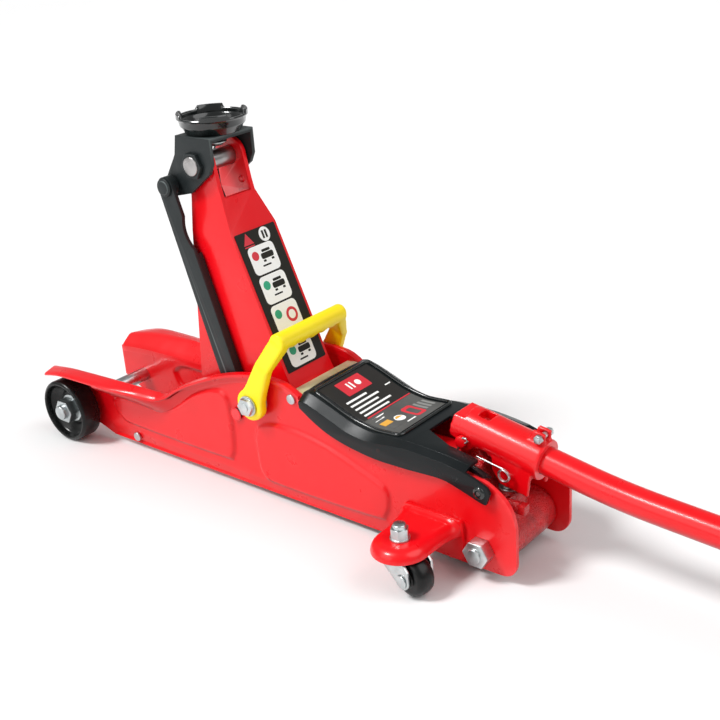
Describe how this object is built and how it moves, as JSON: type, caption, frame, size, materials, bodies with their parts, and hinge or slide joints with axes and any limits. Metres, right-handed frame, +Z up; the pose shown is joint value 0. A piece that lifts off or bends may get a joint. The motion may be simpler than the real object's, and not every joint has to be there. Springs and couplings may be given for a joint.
{
  "type": "hydraulic trolley jack",
  "caption": "Low floor jack on wheels: a long handle pumps a hydraulic ram that raises a saddle on a parallel linkage.",
  "frame": {"origin": "centre of the bounding box in X and Y, on the floor", "axes": "+X from the front wheels to the pump handle, +Y across to the far side, +Z up"},
  "size_m": [0.9068, 0.1836, 0.2811],
  "materials": {
    "red_paint": "gloss enamel over pressed steel",
    "cast_red": "gloss enamel over rough casting",
    "black_paint": "satin",
    "gloss_black": "gloss",
    "wheel_black": "semi-gloss",
    "cover_black": "fine grained",
    "yellow_plastic": "moulded semi-gloss",
    "zinc": "bright zinc plate",
    "steel": "ground",
    "bronze": "sintered",
    "seal_rubber": "matte",
    "grip_rubber": "matte ribbed",
    "decal_print": "printed film",
    "label_print": "printed film"
  },
  "bodies": {
    "chassis": {"side_plate_near": "red_paint", "side_plate_far": "red_paint", "front_tie_bar": "red_paint", "tie_screws": "zinc", "cross_brace": "zinc", "front_axle": "zinc", "axle_spacers": "zinc", "wheel_washers": "zinc", "axle_nuts": "zinc", "caster_bracket_near": "red_paint", "caster_bracket_far": "red_paint", "caster_stems": "zinc", "caster_nuts": "zinc", "arm_pivot_shaft": "steel", "link_pivot_pins": "steel", "handle_bolts": "zinc", "base_casting": "cast_red", "trunnion_bolts": "zinc", "reservoir_tube": "red_paint", "ram_cylinder": "steel", "gland_nut": "steel", "filler_plug": "seal_rubber", "return_springs": "zinc", "pump_barrel": "steel", "top_cover": "cover_black", "cover_screws": "cover_black", "cover_label": "label_print"},
    "front_wheel_near": {"front_wheel_near": "wheel_black"},
    "front_wheel_far": {"front_wheel_far": "wheel_black"},
    "caster_swivel_near": {"caster_fork_near": "zinc", "caster_rivet_near": "zinc"},
    "caster_swivel_far": {"caster_fork_far": "zinc", "caster_rivet_far": "zinc"},
    "caster_wheel_near": {"caster_wheel_near": "wheel_black"},
    "caster_wheel_far": {"caster_wheel_far": "wheel_black"},
    "lift_arm": {"lift_arm": "red_paint", "arm_bushes": "bronze", "crank_pin": "steel", "arm_decal": "decal_print"},
    "link_near": {"link_rod_near": "black_paint"},
    "link_far": {"link_rod_far": "black_paint"},
    "head": {"head_bracket": "black_paint", "head_pin": "steel", "head_pin_nuts": "black_paint", "link_top_bolts": "black_paint"},
    "saddle": {"saddle": "gloss_black", "saddle_clip": "zinc"},
    "carry_handle": {"carry_handle": "yellow_plastic"},
    "ram": {"ram": "steel", "ram_yoke": "steel", "ram_seal": "seal_rubber"},
    "pump_handle": {"handle_socket": "red_paint", "fulcrum_pin": "zinc", "clamp_bolt": "zinc", "torsion_spring": "zinc", "handle_lower": "red_paint", "handle_upper": "red_paint", "handle_grip": "grip_rubber"},
    "plunger": {"pump_plunger": "steel"},
    "release_valve": {"release_valve": "cast_red"}
  },
  "joints": [
    {"name": "lift_arm_raise", "type": "hinge", "parent": "chassis", "child": "lift_arm", "pos_m": [-0.21494, 0, 0.08], "axis": [0, 1, 0], "range_deg": [-67.4, 3]},
    {"name": "head_level", "type": "hinge", "parent": "lift_arm", "child": "head", "pos_m": [-0.26756, 0, 0.24585], "axis": [0, 1, 0], "range_deg": [-3.5, 67.9]},
    {"name": "link_near_swing", "type": "hinge", "parent": "chassis", "child": "link_near", "pos_m": [-0.23844, 0, 0.0636], "axis": [0, 1, 0], "range_deg": [-67.9, 3.5]},
    {"name": "link_far_swing", "type": "hinge", "parent": "chassis", "child": "link_far", "pos_m": [-0.23844, 0, 0.0636], "axis": [0, 1, 0], "range_deg": [-67.9, 3.5]},
    {"name": "saddle_turn", "type": "hinge", "parent": "head", "child": "saddle", "pos_m": [-0.26656, 0, 0.26586], "axis": [0, 0, 1], "continuous": true},
    {"name": "ram_slide", "type": "slide", "parent": "chassis", "child": "ram", "axis": [1, 0, 0], "range_m": [-0.003, 0.0435], "deforming": ["return_springs"]},
    {"name": "carry_handle_swing", "type": "hinge", "parent": "chassis", "child": "carry_handle", "pos_m": [-0.21494, 0, 0.08], "axis": [0, 1, 0], "range_deg": [-8, 14]},
    {"name": "pump_handle_stroke", "type": "hinge", "parent": "chassis", "child": "pump_handle", "pos_m": [-0.04945, 0, 0.0835], "axis": [0, -1, 0], "range_deg": [0, 50]},
    {"name": "plunger_stroke", "type": "slide", "parent": "chassis", "child": "plunger", "axis": [0, 0, 1], "range_m": [0, 0.0225]},
    {"name": "release_valve_turn", "type": "hinge", "parent": "chassis", "child": "release_valve", "pos_m": [-0.02244, -0.0155, 0.048], "axis": [1, 0, 0], "range_deg": [0, 360]},
    {"name": "front_wheel_near_spin", "type": "hinge", "parent": "chassis", "child": "front_wheel_near", "pos_m": [-0.42645, -0.05, 0.0267], "axis": [0, 1, 0], "continuous": true},
    {"name": "caster_near_swivel", "type": "hinge", "parent": "chassis", "child": "caster_swivel_near", "pos_m": [-0.05944, -0.072, 0.03], "axis": [0, 0, 1], "continuous": true},
    {"name": "caster_wheel_near_spin", "type": "hinge", "parent": "caster_swivel_near", "child": "caster_wheel_near", "pos_m": [-0.04763, -0.07408, 0.014], "axis": [0.1736, 0.9848, 0], "continuous": true},
    {"name": "front_wheel_far_spin", "type": "hinge", "parent": "chassis", "child": "front_wheel_far", "pos_m": [-0.42645, 0.05, 0.0267], "axis": [0, 1, 0], "continuous": true},
    {"name": "caster_far_swivel", "type": "hinge", "parent": "chassis", "child": "caster_swivel_far", "pos_m": [-0.05944, 0.072, 0.03], "axis": [0, 0, 1], "continuous": true},
    {"name": "caster_wheel_far_spin", "type": "hinge", "parent": "caster_swivel_far", "child": "caster_wheel_far", "pos_m": [-0.04763, 0.07408, 0.014], "axis": [-0.1736, 0.9848, 0], "continuous": true}
  ],
  "couplings": [
    {"joint": "head_level", "follows": "lift_arm_raise", "ratio": -1},
    {"joint": "link_near_swing", "follows": "lift_arm_raise", "ratio": 1},
    {"joint": "link_far_swing", "follows": "lift_arm_raise", "ratio": 1},
    {"joint": "ram_slide", "follows": "lift_arm_raise", "m_per_rad": -0.03585},
    {"joint": "plunger_stroke", "follows": "pump_handle_stroke", "m_per_rad": 0.025}
  ]
}
